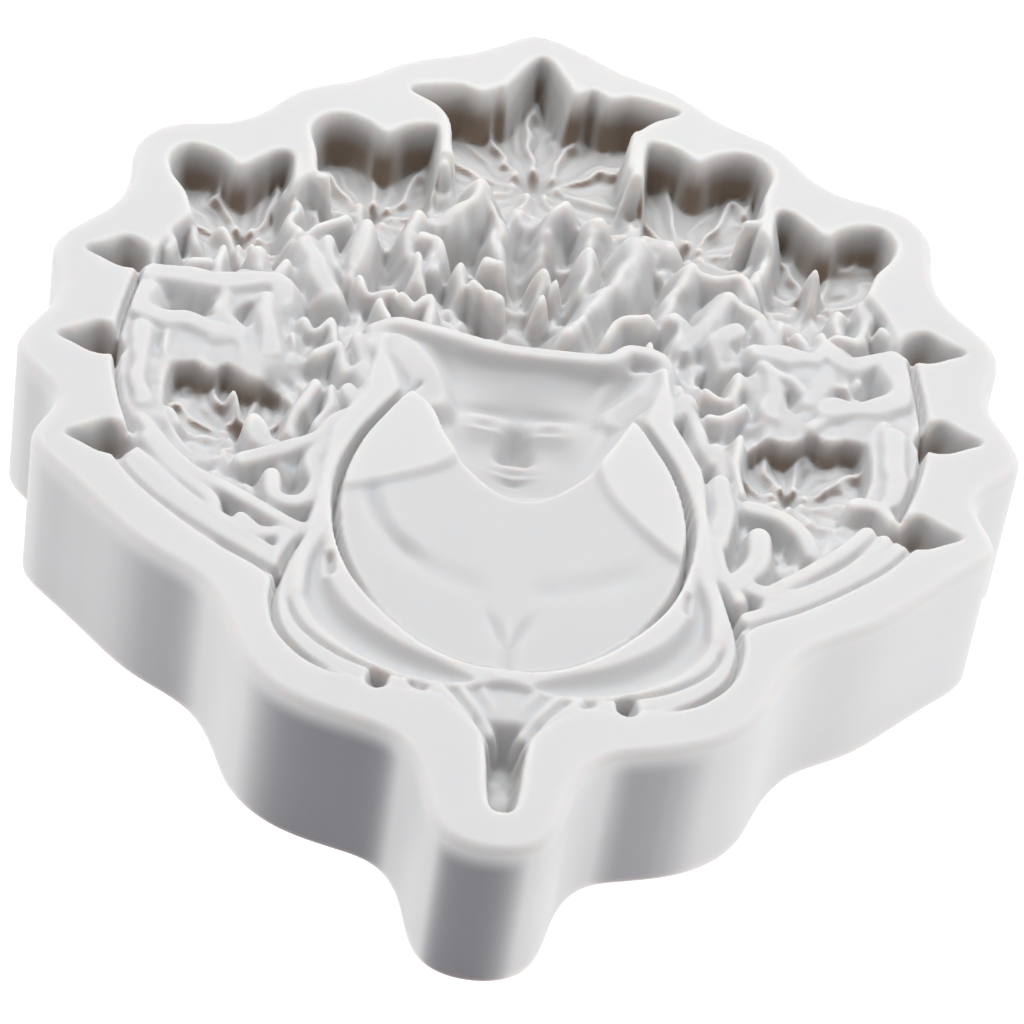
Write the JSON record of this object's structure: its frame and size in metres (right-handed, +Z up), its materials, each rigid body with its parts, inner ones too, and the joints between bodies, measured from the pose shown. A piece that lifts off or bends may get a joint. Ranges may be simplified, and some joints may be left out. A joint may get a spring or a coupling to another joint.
{
  "type": "resin casting mould",
  "caption": "One-piece soft silicone casting mould with a lobed outer wall, a flat rim and a deep relief cavity of a flower-crowned bust, open at the top.",
  "frame": {"origin": "middle of the outline on the flat underside", "axes": "+Z up out of the cavity, +Y along the length towards the crown end, -Y at the pointed tail, +X across"},
  "size_m": [0.1245, 0.1525, 0.022],
  "materials": {
    "white_silicone": "matt translucent white silicone"
  },
  "bodies": {
    "root": {"mould_body": "white_silicone"}
  },
  "joints": []
}
